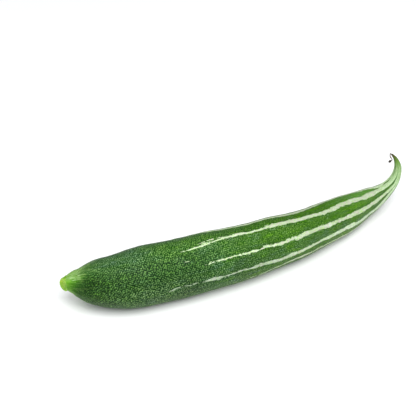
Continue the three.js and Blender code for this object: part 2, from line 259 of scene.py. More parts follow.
# low ribs under the stripes, higher where the fruit narrows to its tip
rib = np.zeros_like(S)
between = np.full_like(S, 9.0)
for k in range(len(STRIPES)):
    da = (A - centre[k][:, None] + np.pi) % (2 * np.pi) - np.pi
    rib = np.maximum(rib, np.exp(-((da / 0.21) ** 2)))
    between = np.minimum(between, np.abs(da))
rib_h = np.interp(rows, [0, 60, 140, 220, 262, 290, 310, 330, 345, 356], [0.0, 0.0, 0.05, 0.14, 0.26, 0.42, 0.46, 0.34, 0.20, 0.05])
relief += rib * rib_h[:, None] - 0.45 * rib_h[:, None]
# ridges fanning out from the stem over the neck
neck = 1 - smooth(10, 40, S)
for k in range(20):
    if k % 2 == 0:
        c = centre[k // 2][:, None]
        h, wdt = 0.34, 0.085
    else:
        c0, c1 = centre[k // 2], centre[(k // 2 + 1) % 10] + (2 * np.pi if k == 19 else 0)
        c = (0.5 * (c0 + c1))[:, None]
        h, wdt = 0.16, 0.07
    da = (A - c + 0.03 * np.sin(S * 0.35 + k) + np.pi) % (2 * np.pi) - np.pi
    r0 = np.maximum(radius_at(S), 4.0)
    wd = wdt * (1 + 2.2 * np.exp(-S / 6.0))
    relief += neck * h * (0.7 + 0.3 * np.sin(k * 2.3)) * np.exp(-((da / wd) ** 2)) * smooth(2, 6, S)
relief -= neck * 0.10

C, T, N, B = frame_at(rows)
R = radius_at(rows)
R = R * np.interp(rows, [START, START + 0.35, START + 0.9], [0.935, 0.98, 1.0])
e = np.cos(A)[..., None] * N[:, None] + np.sin(A)[..., None] * B[:, None]
verts = C[:, None] + (R[:, None] + relief * np.minimum(1, R[:, None] / 3.0))[..., None] * e
verts += SHIFT
# soft underside where it bears on the floor
z = verts[..., 2]
verts[..., 2] = np.where(z < 0.35, 0.35 * np.exp(np.minimum((z - 0.35) / 0.35, 0)), z)
z = verts[..., 2]
verts[..., 2] = np.maximum(z - 0.12 * np.exp(-z / 5.0), 0.0)
tip_end = C[-1] + T[-1] * 0.45 + SHIFT
neck_end = C[0] + SHIFT
V = np.vstack([verts.reshape(-1, 3), neck_end[None], tip_end[None]]) * MM
i, j = np.meshgrid(np.arange(NU - 1), np.arange(NV), indexing="ij")
i, j = i.ravel(), j.ravel()
j2 = (j + 1) % NV
quads = np.stack([i * NV + j, (i + 1) * NV + j, (i + 1) * NV + j2, i * NV + j2], -1)
a0, a1 = NU * NV, NU * NV + 1
jj = np.arange(NV)
cap0 = [(a0, int(q), int((q + 1) % NV)) for q in jj]
cap1 = [(a1, int((NU - 1) * NV + (q + 1) % NV), int((NU - 1) * NV + q)) for q in jj]
fruit = add_mesh("gourd_body", V, quads.tolist() + cap0 + cap1)
me = fruit.data
vol_sign = 1

# per-vertex: place on an unrolled skin (a cylinder of radius 24 mm, so that nothing breaks at a seam), and girth
skin = np.zeros((len(V), 3), np.float32)
skin[:NU * NV] = np.stack([24 * np.cos(A), 24 * np.sin(A), S], -1).reshape(-1, 3)
skin[a0], skin[a1] = (0, 0, START), (0, 0, LENGTH + 0.4)
att = me.attributes.new("skin", "FLOAT_VECTOR", "POINT")
att.data.foreach_set("vector", skin.ravel())
girth = np.zeros(len(V), np.float32)
girth[:NU * NV] = np.repeat(radius_at(rows), NV)
girth[a0], girth[a1] = radius_at(START), 0.4
att = me.attributes.new("girth", "FLOAT", "POINT")
att.data.foreach_set("value", girth)

# per-corner: signed distance (mm) from the nearest stripe's centre line, that stripe's half width, its number
loops = np.zeros(len(me.loops), np.int32)
me.loops.foreach_get("vertex_index", loops)
face_start = np.zeros(len(me.polygons), np.int32)
me.polygons.foreach_get("loop_start", face_start)
face_total = np.zeros(len(me.polygons), np.int32)
me.polygons.foreach_get("loop_total", face_total)
face_of = np.repeat(np.arange(len(me.polygons)), face_total)
row_of = np.full(len(V), 0)
row_of[:NU * NV] = np.repeat(np.arange(NU), NV)
row_of[a1] = NU - 1
ang_of = np.zeros(len(V))
ang_of[:NU * NV] = np.tile(ang, NU)
lr, la = row_of[loops], ang_of[loops]
pole = (loops == a0) | (loops == a1)
first = loops[face_start]
first = np.where((first == a0) | (first == a1), loops[face_start + 1], first)
fa, fr = ang_of[first] + np.pi / NV, row_of[first]
gap = np.abs((fa[:, None] - centre[:, fr].T + np.pi) % (2 * np.pi) - np.pi)
near = np.argmin(gap, 1)
lk = near[face_of]
la = np.where(pole, (fa[face_of]), la)
ld = ((la - centre[lk, lr] + np.pi) % (2 * np.pi) - np.pi) * radius_at(rows)[lr]
lw = halfw[lk, lr]
att = me.attributes.new("stripe", "FLOAT_VECTOR", "CORNER")
att.data.foreach_set("vector", np.stack([ld, lw, lk.astype(float)], -1).astype(np.float32).ravel())

# the same for the loose strands: the nearest one's signed distance and half width, tapering to its ends
strands = STRANDS + more_strands()
line_ = np.array([[a_, b_, math.radians(c_), math.radians(d_), w_] for a_, b_, c_, d_, w_ in strands])
fs = rows[fr] + 0.5 * (rows[np.minimum(fr + 1, NU - 1)] - rows[fr])


def strand_distance(s_, a_, which=None):
    """Distance across (mm, signed) and how far past the ends (mm) each strand lies from the points (s, angle)."""
    L_ = line_ if which is None else line_[which]
    s0, s1, c0, c1 = (L_[..., q] for q in range(4))
    t_ = np.clip((s_ - s0) / (s1 - s0), 0, 1)
    d_ = ((a_ - (c0 + (c1 - c0) * t_) + np.pi) % (2 * np.pi) - np.pi) * radius_at(s_)
    past = np.maximum(np.maximum(s0 - s_, s_ - s1), -9.0)
    return d_, past


pick = np.zeros(len(fs), int)
best = np.full(len(fs), 1e9)
for q in range(len(line_)):
    d_, past = strand_distance(fs, fa, q)
    far = np.hypot(d_, np.maximum(past, 0) * 0.6)
    pick = np.where(far < best, q, pick)
    best = np.minimum(best, far)
lq = pick[face_of]
d_, past = strand_distance(rows[lr], la, lq)
span = line_[lq, 1] - line_[lq, 0]
taper = np.clip(-past / (0.3 * span), -1.0, 1.0)
w2 = line_[lq, 4] * np.where(taper > 0, np.sqrt(np.maximum(taper, 0)), 2.5 * taper) - np.where(best[face_of] > 6, 2.0, 0.0)
att = me.attributes.new("strand", "FLOAT_VECTOR", "CORNER")
att.data.foreach_set("vector", np.stack([d_, w2, lq.astype(float)], -1).astype(np.float32).ravel())

# an unrolled map named OFBake: two strips, the stem half above the tip half
uvl = me.uv_layers.new(name="OFBake")
SPLIT = 168.0
split_row = int(np.argmin(np.abs(rows - SPLIT)))
loop_s, loop_a = rows[lr], la.copy()
fa0 = (fa[face_of] - np.pi / NV)
loop_a = np.where(pole, fa[face_of], np.where((ang_of[loops] < 1e-6) & (fa0 > np.pi), 2 * np.pi, ang_of[loops]))
face_row = np.minimum.reduceat(row_of[loops], face_start)
upper = (face_row < split_row)[face_of]
u = np.where(upper, (loop_s - rows[0]) / (rows[split_row] - rows[0]), (loop_s - rows[split_row]) / (rows[-1] - rows[split_row]))
u = np.where(loops == a0, -0.012, np.where(loops == a1, 1.012, u))
v = loop_a / (2 * np.pi)
uv = np.stack([0.018 + 0.964 * u, np.where(upper, 0.455 + 0.535 * v, 0.01 + 0.425 * v)], -1)
uvl.data.foreach_set("uv", uv.astype(np.float32).ravel())

# ------------------------------------------------------------------ node helpers
class Tree:
    def __init__(self, name):
        self.mat = bpy.data.materials.new(name)
        self.mat.use_nodes = True
        self.t = self.mat.node_tree
        self.t.nodes.clear()
        self.out = self.t.nodes.new("ShaderNodeOutputMaterial")
        self.bsdf = self.t.nodes.new("ShaderNodeBsdfPrincipled")
        self.t.links.new(self.bsdf.outputs[0], self.out.inputs[0])

    def put(self, value, socket):
        if isinstance(value, bpy.types.NodeSocket):
            self.t.links.new(value, socket)
        elif value is not None:
            if socket.type == "RGBA" and len(value) == 3:
                value = (*value, 1.0)
            socket.default_value = value

    def node(self, kind, inputs=None, out=0, **props):
        n = self.t.nodes.new(kind)
        for k, x in props.items():
            setattr(n, k, x)
        for k, x in (inputs or {}).items():
            self.put(x, n.inputs[k])
        return n.outputs[out]

    def math(self, op, a, b=None, c=None, clamp=False):
        n = self.t.nodes.new("ShaderNodeMath")
        n.operation, n.use_clamp = op, clamp
        for k, x in enumerate((a, b, c)):
            self.put(x, n.inputs[k])
        return n.outputs[0]

    def add(self, a, b): return self.math("ADD", a, b)
    def sub(self, a, b): return self.math("SUBTRACT", a, b)
    def mul(self, a, b): return self.math("MULTIPLY", a, b)

    def step(self, x, lo, hi, a=0.0, b=1.0, kind="SMOOTHSTEP"):
        n = self.t.nodes.new("ShaderNodeMapRange")
        n.interpolation_type = kind
        for k, val in zip((0, 1, 2, 3, 4), (x, lo, hi, a, b)):
            self.put(val, n.inputs[k])
        return n.outputs[0]

    def attr(self, name, out="Vector"):
        n = self.t.nodes.new("ShaderNodeAttribute")
        n.attribute_name = name
        return n.outputs[out]

    def split(self, v):
        n = self.t.nodes.new("ShaderNodeSeparateXYZ")
        self.put(v, n.inputs[0])
        return n.outputs[0], n.outputs[1], n.outputs[2]

    def join(self, x, y, z):
        n = self.t.nodes.new("ShaderNodeCombineXYZ")
        for k, val in enumerate((x, y, z)):
            self.put(val, n.inputs[k])
        return n.outputs[0]

    def scale(self, v, k):
        n = self.t.nodes.new("ShaderNodeVectorMath")
        n.operation = "MULTIPLY"
        self.put(v, n.inputs[0])
        self.put(k if isinstance(k, (tuple, bpy.types.NodeSocket)) else (k, k, k), n.inputs[1])
        return n.outputs[0]

    def noise(self, v, scale, detail=2.0, rough=0.5, distortion=0.0, out=0):
        return self.node("ShaderNodeTexNoise", {"Vector": v, "Scale": scale, "Detail": detail, "Roughness": rough, "Distortion": distortion}, out)

    def voronoi(self, v, scale, out="Distance", feature="F1", randomness=1.0):
        n = self.t.nodes.new("ShaderNodeTexVoronoi")
        n.feature = feature
        self.put(v, n.inputs["Vector"])
        n.inputs["Scale"].default_value = scale
        n.inputs["Randomness"].default_value = randomness
        return n.outputs[out]

    def ramp(self, x, stops, kind="LINEAR"):
        n = self.t.nodes.new("ShaderNodeValToRGB")
        n.color_ramp.interpolation = kind
        el = n.color_ramp.elements
        while len(el) < len(stops):
            el.new(0.5)
        for e_, (p, c) in zip(el, stops):
            e_.position = p
        for e_, (p, c) in zip(el, stops):
            e_.color = (*c, 1.0) if len(c) == 3 else c
        self.put(x, n.inputs[0])
        return n.outputs[0]

    def mix(self, f, a, b, blend="MIX"):
        n = self.t.nodes.new("ShaderNodeMix")
        n.data_type, n.blend_type = "RGBA", blend
        self.put(f, n.inputs[0])
        self.put(a, n.inputs[6])
        self.put(b, n.inputs[7])
        return n.outputs[2]

    def bump(self, height, distance, strength=1.0, normal=None):
        n = self.t.nodes.new("ShaderNodeBump")
        self.put(height, n.inputs["Height"])
        n.inputs["Distance"].default_value = distance
        n.inputs["Strength"].default_value = strength
        if normal is not None:
            self.put(normal, n.inputs["Normal"])
        return n.outputs[0]


def srgb(r, g, b):
    """A colour given as 0-255 display values."""
    return tuple(((c / 255) / 12.92 if c <= 10.3 else ((c / 255 + 0.055) / 1.055) ** 2.4) for c in (r, g, b))


def skin_material():
    t = Tree("gourd_skin")
    obj = t.node("ShaderNodeTexCoord", out="Object")
    cx, cy, s = t.split(t.attr("skin"))
    d, w, k = t.split(t.attr("stripe"))
    d2, w2, k2 = t.split(t.attr("strand"))
    girth_v = t.attr("girth", "Fac")
    s01 = t.mul(s, 1.0 / 357.0)

    # ---- ground colour along the fruit
    base = t.ramp(s01, [
        (0.000, srgb(112, 158, 36)), (0.018, srgb(104, 150, 42)), (0.036, srgb(84, 126, 44)), (0.052, srgb(62, 103, 37)),
        (0.080, srgb(46, 86, 28)), (0.150, srgb(50, 91, 32)), (0.230, srgb(53, 95, 31)), (0.340, srgb(53, 98, 22)),
        (0.450, srgb(56, 100, 18)), (0.560, srgb(60, 103, 18)), (0.680, srgb(64, 106, 24)), (0.760, srgb(70, 110, 36)),
        (0.830, srgb(66, 102, 40)), (0.905, srgb(68, 100, 46)), (0.938, srgb(84, 116, 62)), (0.955, srgb(88, 126, 60)),
        (0.972, srgb(90, 130, 52)), (0.984, srgb(82, 104, 44)), (0.993, srgb(72, 72, 38)), (1.0, srgb(56, 44, 26))])
    cloudy = t.mul(t.sub(t.noise(obj, 60.0, 2.0, 0.5), 0.5), 0.5)

    def region(phi, near, far, start, full, last, gone):
        """A soft-edged patch: round the fruit about phi (deg), along it from start to gone (mm)."""
        c_ = t.add(t.mul(cx, math.cos(math.radians(phi)) / 24), t.mul(cy, math.sin(math.radians(phi)) / 24))
        c_ = t.step(t.add(c_, t.mul(cloudy, 0.45)), math.cos(math.radians(far)), math.cos(math.radians(near)))
        along = t.add(s, t.mul(cloudy, 40.0))
        return t.mul(c_, t.mul(t.step(along, start, full), t.step(along, gone, last)))

    # painted shade down the side of the neck, about 86 degrees round: darkest from 13 to 22 mm, gone by 66 mm
    neck_side_shade = t.add(t.mul(cx, math.cos(math.radians(86)) / 24), t.mul(cy, math.sin(math.radians(86)) / 24))
    neck_side_shade = t.mul(t.step(t.add(neck_side_shade, cloudy), 0.62, 0.90), t.mul(t.step(s, 4.0, 13.0, 0.25, 1.0), t.step(s, 66.0, 22.0)))
    base = t.mix(neck_side_shade, base, t.mix(1.0, base, (0.27, 0.41, 0.30), "MULTIPLY"))
    big = t.noise(obj, 26.0, 3.0, 0.55)
    base = t.mix(t.step(big, 0.36, 0.66, 0.0, 0.28), base, t.mix(1.0, base, (0.66, 0.76, 0.74), "MULTIPLY"))
    streak = t.noise(t.join(t.mul(cx, 0.36), t.mul(cy, 0.36), t.mul(s, 0.022)), 1.0, 3.0, 0.6)
    base = t.mix(t.step(streak, 0.42, 0.68, 0.0, 0.5), base, t.mix(1.0, base, (1.45, 1.24, 0.80), "MULTIPLY"))

    # ---- pale grains in a darker net: bold on the stem half, faint towards the tip
    fade = t.ramp(s01, [(0.0, (0.10,) * 3), (0.04, (0.45,) * 3), (0.08, (0.85,) * 3), (0.18, (1.0,) * 3), (0.31, (0.98,) * 3), (0.39, (0.86,) * 3), (0.46, (0.77,) * 3), (0.54, (0.78,) * 3), (0.62, (0.70,) * 3), (0.78, (0.55,) * 3), (0.90, (0.28,) * 3), (1.0, (0.0,) * 3)])
    # the skin laid flat: round it (mm, at a radius of 24 mm) and along it (mm), a little shaken
    flat = t.join(t.mul(t.math("ARCTAN2", cy, cx), 24.0), s, 0.0)
    shake = t.node("ShaderNodeTexNoise", {"Vector": obj, "Scale": 620.0, "Detail": 2.0}, 1)
    shake = t.node("ShaderNodeVectorMath", {0: shake, 1: (0.5, 0.5, 0.5)}, operation="SUBTRACT")
    flat = t.node("ShaderNodeVectorMath", {0: flat, 1: t.scale(shake, 1.1)}, operation="ADD")
    flat = t.node("ShaderNodeVectorRotate", {"Vector": flat, "Angle": 0.55}, rotation_type="Z_AXIS")   # rows of cells askew to the fruit

    def grains(scale, core, rim, least, move=0.0):
        """Rounded spots, one to a cell, of uneven brightness."""
        at = t.node("ShaderNodeVectorMath", {0: flat, 1: (move, move * 0.6, 0.0)}, operation="ADD")
        cell = t.t.nodes.new("ShaderNodeTexVoronoi")
        cell.voronoi_dimensions = "2D"
        t.put(at, cell.inputs["Vector"])
        cell.inputs["Scale"].default_value = scale
        cell.inputs["Randomness"].default_value = 0.60
        r_, g_ = (t.node("ShaderNodeSeparateColor", {0: cell.outputs["Color"]}, q) for q in (0, 1))
        size = t.add(rim, t.mul(t.sub(g_, 0.5), 0.20))
        return t.mul(t.step(cell.outputs["Distance"], core, size, 1.0, 0.0), t.add(least, t.mul(t.math("POWER", r_, 1.5), 1.0 - least)))

    patch = t.step(t.noise(obj, 75.0, 2.0, 0.5), 0.34, 0.60, 0.90, 1.0)
    bold = region(80, 32, 68, 4, 16, 88, 116)      # the grain is boldest on the side of the stem half
    fleck = t.math("MAXIMUM", t.mul(grains(0.66, 0.10, 0.42, 0.50), patch), t.mul(grains(1.15, 0.10, 0.44, 0.10, 31.7), t.sub(0.50, t.mul(bold, 0.20))))
    dots = grains(0.58, 0.10, 0.30, 0.0, 77.3)
    specks = t.mul(fleck, fade)
    dark = t.mix(1.0, base, t.mix(bold, (0.04, 0.24, 0.0), (0.0, 0.17, 0.0)), "MULTIPLY")
    pale = t.mix(t.step(s01, 0.28, 0.52), t.mix(bold, (0.100, 0.165, 0.074), (0.112, 0.192, 0.078)), (0.093, 0.170, 0.036))
    pale = t.mix(1.0, t.mix(1.0, base, (1.32, 1.30, 1.32), "MULTIPLY"), pale, "ADD")
    col = t.mix(fade, base, dark)
    col = t.mix(specks, col, pale)
    dotted = t.mix(bold, t.mix(t.step(s01, 0.28, 0.52), srgb(124, 160, 96), srgb(118, 160, 80)), srgb(138, 180, 102))
    col = t.mix(t.mul(dots, t.mul(fade, 0.90)), col, dotted)
    # soft patches, mostly painted light: a painted bluish sheen and painted highlights along the top of the shoulder,
    # painted shade (deeper and yellower greens) down the side below it, a painted greyer, bluish reflection of the
    # floor along the lower side
    for painted_light_tint, where in (((1.26, 1.18, 1.60), (2, 8, 34, 12, 32, 54, 84)), ((1.22, 1.24, 0.92), (10, 8, 30, 58, 80, 116, 136)),
                        ((0.66, 0.78, 0.58), (56, 8, 30, 14, 24, 98, 126)), ((0.62, 0.74, 0.56), (78, 8, 34, 3, 10, 22, 40)),
                        ((1.26, 1.18, 1.26), (32, 4, 18, 104, 126, 190, 214)), ((1.16, 1.03, 1.46), (96, 18, 40, 100, 124, 262, 300)),
                        ((1.04, 0.92, 1.20), (88, 10, 36, 44, 62, 100, 124)), ((1.40, 1.38, 1.60), (2, 10, 32, 226, 262, 290, 310)),
                        ((0.78, 0.80, 0.80), (98, 6, 20, 78, 92, 128, 146)), ((0.80, 0.82, 0.76), (51, 4, 15, 132, 146, 166, 182)),
                        ((1.34, 1.14, 1.55), (110, 7, 20, 216, 238, 284, 304)), ((1.00, 0.99, 1.30), (78, 8, 26, 146, 172, 238, 264)),
                        ((1.20, 1.20, 1.20), (2, 8, 22, 256, 270, 294, 306)), ((0.82, 0.82, 0.84), (86, 6, 18, 104, 122, 160, 182)),
                        ((1.24, 1.20, 1.15), (34, 5, 16, 232, 248, 298, 316)), ((1.24, 1.12, 1.34), (124, 6, 16, 22, 38, 62, 82)),
                        ((0.76, 0.78, 0.72), (82, 8, 26, 3, 8, 15, 24)), ((1.16, 1.04, 1.10), (118, 8, 22, 60, 80, 150, 170)),
                        ((0.86, 0.87, 0.94), (77, 5, 18, 192, 210, 252, 268)), ((1.02, 1.14, 0.84), (70, 20, 50, 2, 5, 26, 44)),
                        ((1.24, 1.24, 1.05), (60, 6, 20, 3, 6, 12, 19))):
        col = t.mix(region(*where), col, t.mix(1.0, col, painted_light_tint, "MULTIPLY"))
    # drifts of colour a few millimetres long: vivid green here, bluish green there, more of them past the stem half
    drift = t.noise(t.join(t.mul(cx, 0.26), t.mul(cy, 0.26), t.mul(s, 0.085)), 1.0, 2.0, 0.55)
    lively = t.step(s01, 0.22, 0.50, 0.35, 1.0)
    col = t.mix(t.mul(t.step(drift, 0.54, 0.66), lively), col, t.mix(1.0, col, (1.00, 1.14, 0.42), "MULTIPLY"))
    col = t.mix(t.mul(t.step(drift, 0.46, 0.34), lively), col, t.mix(1.0, col, (1.08, 1.00, 1.95), "MULTIPLY"))

    # ---- stripes
    coarse = t.step(girth_v, 3.0, 16.0, 0.28, 1.0)      # the raggedness is finer where the fruit is thin
    wav = t.noise(t.join(t.mul(k, 7.31), 0.0, t.mul(s, 0.11)), 1.0, 2.0, 0.6)
    dd = t.add(d, t.mul(t.mul(t.sub(wav, 0.5), 1.3), coarse))

    def ragged(dist, tag, half):
        """How far inside a stripe a point is (mm), its edges broken into steps, teeth and fibres."""
        step_ = t.noise(t.join(t.mul(dist, 0.85), t.mul(tag, 3.7), t.mul(s, 0.30)), 1.0, 2.0, 0.55)
        tooth = t.noise(t.join(t.mul(dist, 1.6), t.mul(tag, 9.1), t.mul(s, 0.95)), 1.0, 2.0, 0.6)
        fibre = t.noise(t.join(t.mul(dist, 4.2), t.mul(tag, 5.3), t.mul(s, 0.42)), 1.0, 2.0, 0.55)
        n_ = t.add(t.add(t.mul(t.sub(step_, 0.5), 2.5), t.mul(t.sub(tooth, 0.5), 1.7)), t.mul(t.sub(fibre, 0.5), 0.95))
        return t.sub(t.add(half, t.mul(n_, coarse)), t.math("ABSOLUTE", dist))

    edge = ragged(dd, k, w)
    edge2 = ragged(d2, t.add(k2, 20.0), w2)
    inside = t.math("MAXIMUM", edge, edge2)
    stripe = t.step(inside, -0.06, 0.20)
    halo = t.mul(t.step(inside, -1.15, -0.35), t.step(inside, 0.10, -0.12))
    # crumbs scattered just outside the edges
    crumb_at = t.voronoi(t.join(t.mul(cx, 1.25), t.mul(cy, 1.25), t.mul(s, 0.62)), 1.0)
    crumb_c = t.node("ShaderNodeSeparateColor", {0: t.voronoi(t.join(t.mul(cx, 1.25), t.mul(cy, 1.25), t.mul(s, 0.62)), 1.0, "Color")}, 0)
    crumbs = t.mul(t.step(t.sub(t.add(0.06, t.mul(crumb_c, 0.24)), crumb_at), 0.0, 0.08), t.mul(t.step(inside, -1.3, -0.15), t.step(w, 0.1, 0.6)))
    stripe = t.math("MAXIMUM", stripe, t.mul(crumbs, 0.75))
    thready = t.noise(t.join(t.mul(d2, 2.6), t.mul(k2, 4.1), t.mul(s, 0.22)), 1.0, 3.0, 0.6)
    stripe = t.mul(stripe, t.math("MAXIMUM", t.step(s, 22.0, 42.0), t.step(thready, 0.34, 0.58, 0.18, 0.92)))

    inner = t.noise(t.join(t.mul(dd, 1.7), t.mul(k, 2.9), t.mul(s, 0.40)), 1.0, 3.0, 0.65)
    worn = t.noise(t.join(t.mul(dd, 0.9), t.mul(k, 6.1), t.mul(s, 0.16)), 1.0, 2.0, 0.6)
    grain = t.noise(obj, 640.0, 2.0, 0.6)
    pin = t.voronoi(t.join(t.mul(dd, 1.9), t.mul(k, 4.4), t.mul(s, 1.15)), 1.0)
    white = t.mix(t.step(inner, 0.44, 0.66, 0.0, 0.80), srgb(186, 201, 172), srgb(130, 158, 108))
    blot = t.noise(t.join(t.mul(dd, 0.62), t.mul(k, 5.7), t.mul(s, 0.25)), 1.0, 2.0, 0.5)
    hue = t.noise(t.join(t.mul(dd, 0.85), t.mul(k, 8.3), t.mul(s, 0.42)), 1.0, 2.0, 0.55)
    white = t.mix(t.step(blot, 0.48, 0.36, 0.0, 0.80), white, srgb(196, 214, 190))
    white = t.mix(t.step(blot, 0.56, 0.66, 0.0, 0.60), white, srgb(164, 186, 150))
    white = t.mix(t.step(hue, 0.54, 0.62, 0.0, 0.80), white, srgb(196, 186, 176))
    white = t.mix(t.step(hue, 0.45, 0.37, 0.0, 0.75), white, srgb(176, 210, 128))
    white = t.mix(t.step(inside, 0.75, 0.15, 0.0, 0.50), white, srgb(154, 186, 122))
    white = t.mix(t.step(worn, 0.50, 0.68, 0.0, 0.60), white, srgb(150, 176, 132))
    white = t.mix(t.step(grain, 0.52, 0.68, 0.0, 0.50), white, srgb(170, 158, 146))
    white = t.mix(t.step(pin, 0.30, 0.10, 0.0, 0.62), white, srgb(104, 140, 78))
    strength = t.ramp(s01, [(0.28, (1.16,) * 3), (0.40, (1.08,) * 3), (0.47, (0.97, 0.96, 0.97)), (0.58, (0.86, 0.85, 0.86)), (0.80, (0.86, 0.85, 0.87)), (0.88, (1.0,) * 3)])
    third = t.math("COMPARE", k, 3.0, 0.4)
    strength = t.mix(t.mul(third, t.step(s, 205.0, 140.0)), strength, (0.72, 0.73, 0.79))
    strength = t.mix(t.mul(third, t.step(s, 180.0, 240.0)), strength, (1.00, 1.01, 1.06))
    white = t.mix(1.0, white, strength, "MULTIPLY")
    white = t.mix(t.step(s01, 0.80, 0.93), white, t.mix(t.step(inner, 0.40, 0.70), srgb(158, 184, 138), srgb(124, 152, 100)))
    white = t.mix(t.step(s01, 0.905, 0.950), white, t.mix(t.step(inner, 0.40, 0.68), srgb(146, 171, 124), srgb(112, 142, 84)))
    white = t.mix(t.step(s, 42.0, 18.0), white, t.mix(t.step(inner, 0.40, 0.66), srgb(168, 202, 138), srgb(138, 174, 100)))
    fade_tip = t.step(s01, 0.945, 0.985, 1.0, 0.0)
    turn_ = t.math("ARCTAN2", cy, cx)
    fibres = t.noise(t.join(t.mul(t.math("COSINE", turn_), 5.2), t.mul(t.math("SINE", turn_), 5.2), t.mul(s, 0.045)), 1.0, 3.0, 0.62)
    thin_end = t.step(s, 286.0, 318.0)
    col = t.mix(t.mul(halo, t.mul(0.55, fade_tip)), col, t.mix(1.0, col, (0.58, 0.66, 0.62), "MULTIPLY"))
    col = t.mix(t.mul(stripe, t.mul(fade_tip, 0.97)), col, white)

    col = t.mix(t.mul(t.step(fibres, 0.50, 0.62), t.mul(thin_end, 0.42)), col, t.mix(1.0, col, (0.62, 0.74, 0.60), "MULTIPLY"))
    col = t.mix(t.mul(t.step(fibres, 0.46, 0.36), t.mul(thin_end, t.mul(fade_tip, 0.40))), col, srgb(176, 196, 160))

    # ---- short pale streaks over the neck
    ns = t.noise(t.join(t.mul(cx, 0.75), t.mul(cy, 0.75), t.mul(s, 0.13)), 1.0, 3.0, 0.62)
    nmask = t.mul(t.step(ns, 0.53, 0.63), t.mul(t.mul(t.step(s, 34.0, 12.0), t.step(s, 2.0, 7.0, 0.2, 0.75)), t.sub(1.0, t.mul(neck_side_shade, 0.75))))
    col = t.mix(nmask, col, srgb(136, 170, 92))
    frosted = t.noise(t.join(t.mul(cx, 0.50), t.mul(cy, 0.50), t.mul(s, 0.20)), 1.0, 3.0, 0.6)
    col = t.mix(t.mul(t.step(frosted, 0.42, 0.60, 0.0, 0.72), region(12, 12, 38, 1.5, 6.0, 9.0, 19.0)), col, srgb(140, 174, 112))

    t.put(col, t.bsdf.inputs["Base Color"])

    # ---- gloss
    rough = t.add(0.44, t.mul(t.sub(t.noise(obj, 120.0, 3.0, 0.6), 0.5), 0.22))
    rough = t.add(rough, t.mul(specks, 0.10))
    rough = t.add(rough, t.mul(stripe, 0.08))
    t.put(t.math("MINIMUM", t.math("MAXIMUM", rough, 0.28), 0.8), t.bsdf.inputs["Roughness"])
    t.bsdf.inputs["Specular IOR Level"].default_value = 0.09
    t.bsdf.inputs["IOR"].default_value = 1.45

    # ---- relief finer than the mesh
    height = t.add(t.mul(specks, 0.40), t.mul(t.noise(obj, 900.0, 3.0, 0.6), 0.25))
    height = t.add(height, t.mul(stripe, 0.35))
    height = t.add(height, t.mul(t.noise(t.join(t.mul(cx, 0.9), t.mul(cy, 0.9), t.mul(s, 0.06)), 1.0, 3.0, 0.6), 0.7))
    t.put(t.bump(height, 0.00012, 0.8), t.bsdf.inputs["Normal"])
    return t.mat


fruit.data.materials.append(skin_material())
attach(fruit, "root")
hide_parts("gourd_fruit")


def strip_map(ob, us, vs):
    """A plain unrolled map named OFBake, from one (u, v) for each corner."""
    layer = ob.data.uv_layers.new(name="OFBake")
    layer.data.foreach_set("uv", np.stack([us, vs], -1).astype(np.float32).ravel())


def corners(ob):
    v_ = np.zeros(len(ob.data.loops), np.int32)
    ob.data.loops.foreach_get("vertex_index", v_)
    return v_


# ------------------------------------------------------------------ the cut stem
STEM_RADII = [(-1.2, 6.05), (0.0, 6.22), (1.4, 5.86), (2.8, 5.48), (4.2, 5.03), (5.6, 4.46), (7.2, 3.7), (8.8, 2.85)]
STEM_DROOP = np.array([-0.020, -0.119, -0.200])
CUT_AT, CUT_OUT = np.array([-160.235, 24.67, 20.512]), unit(np.array([-0.9947, -0.102, 0.0147]))
_c3, _t3, _n3, _b3 = (q[0] for q in frame_at(np.array([3.0])))
SA, SL, SF = 160, 44, 30                       # sides, rows along, rings across the cut face
sang = np.linspace(0, 2 * np.pi, SA, endpoint=False)


def stem_point(a, th):
    """A point of the smooth stem, a mm behind the fruit, at angle th."""
    a = np.asarray(a, float)
    e_ = np.cos(th)[..., None] * _n3 + np.sin(th)[..., None] * _b3
    r_ = hermite([q[0] for q in STEM_RADII], [q[1] for q in STEM_RADII], np.clip(a, -1.2, 8.8))
    return _c3 - _t3 * (0.3 + a[..., None]) + STEM_DROOP * a[..., None] + r_[..., None] * e_, e_


probe = np.linspace(0.0, 8.8, 881)
far_ = ((stem_point(np.repeat(probe[:, None], SA, 1), np.repeat(sang[None], len(probe), 0))[0] - CUT_AT) @ CUT_OUT)
reach = np.array([np.interp(0.0, far_[:, q], probe) if far_[-1, q] > 0 else 8.8 for q in range(SA)])
ridges = 0.5 + 0.5 * np.cos(5 * sang + 0.9) ** 1
sn = waves(18, 31, (0.03, 0.16), (2, 11), 0.07)
sn_fine = waves(40, 32, (0.10, 0.45), (14, 46), 0.022)
uu = 1 - (1 - np.linspace(0, 1, SL)) ** 1.35
SAL = -1.0 + uu[:, None] * (reach + 1.0)[None, :]
STH = np.repeat(sang[None], SL, 0)
P_, E_ = stem_point(SAL, STH)
left = np.maximum(reach[None] - SAL, 0)         # how far before the cut
h_ = 0.26 * (ridges[None] - 0.55) * smooth(0.3, 3.0, SAL) * (0.55 + 0.45 * smooth(0.0, 1.5, left))
h_ += (sn(SAL * 2.2, STH) + sn_fine(SAL, STH)) * smooth(-0.2, 1.0, SAL)
h_ += 0.16 * np.exp(-((left - 0.75) / 0.55) ** 2)                     # the cut edge is a little swollen
h_ -= 0.30 * np.exp(-((SAL - 0.15) / 0.42) ** 2)                      # a crease where it meets the fruit
round_ = 0.42
d_ = np.clip(left / round_, 0, 1)
h_ -= round_ * (1 - np.sqrt(np.clip(1 - (1 - d_) ** 2, 0, 1)))
side = P_ + h_[..., None] * E_
rim = side[-1]
mid = rim.mean(0)
face_rows, face_tags = [], []
